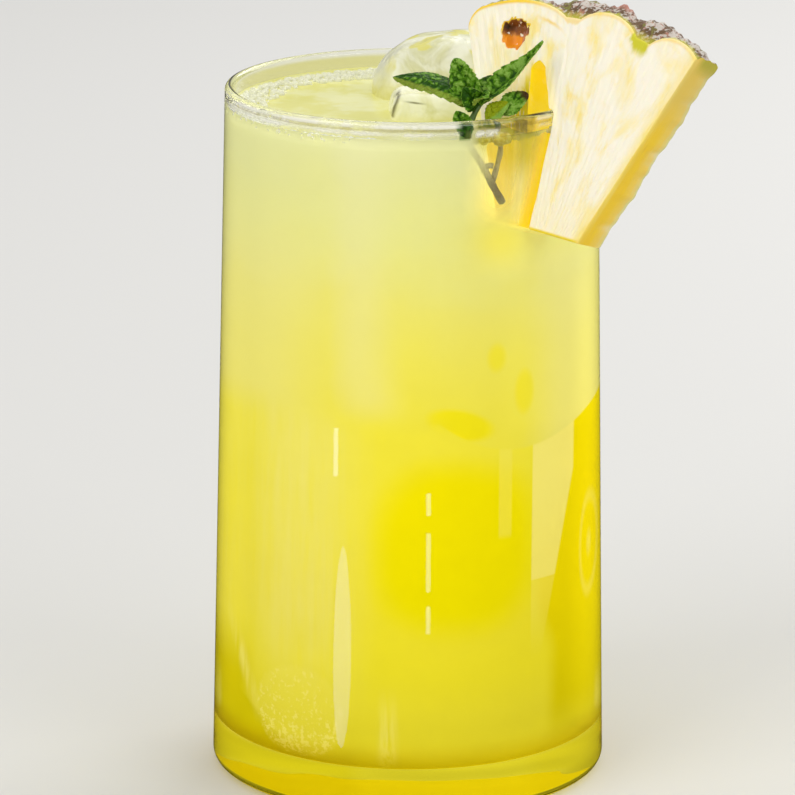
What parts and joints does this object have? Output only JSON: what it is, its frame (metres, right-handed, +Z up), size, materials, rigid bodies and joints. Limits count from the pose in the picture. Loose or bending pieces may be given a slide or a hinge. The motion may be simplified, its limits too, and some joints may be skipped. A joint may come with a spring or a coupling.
{
  "type": "pineapple lemonade",
  "caption": "Tall tumbler of cloudy pineapple lemonade with ice, a leafy mint sprig and a slit pineapple slice hung on the rim.",
  "frame": {"origin": "centre of the tumbler's flat underside", "axes": "+Z up along the tumbler's axis, -Y towards the pictured front, +X towards the side where the pineapple slice hangs"},
  "size_m": [0.091, 0.0781, 0.1494],
  "materials": {
    "clear_glass": "clear polished glass",
    "lemonade": "cloudy pale yellow drink",
    "ice": "wet, slightly melted ice",
    "mint": "fresh wrinkled mint leaf",
    "pineapple": "juicy pineapple flesh with scaly rind"
  },
  "bodies": {
    "root": {"glass": "clear_glass", "lemonade": "lemonade", "ice_back": "ice", "ice_front": "ice", "mint_sprig": "mint", "pineapple_slice": "pineapple"}
  },
  "joints": []
}
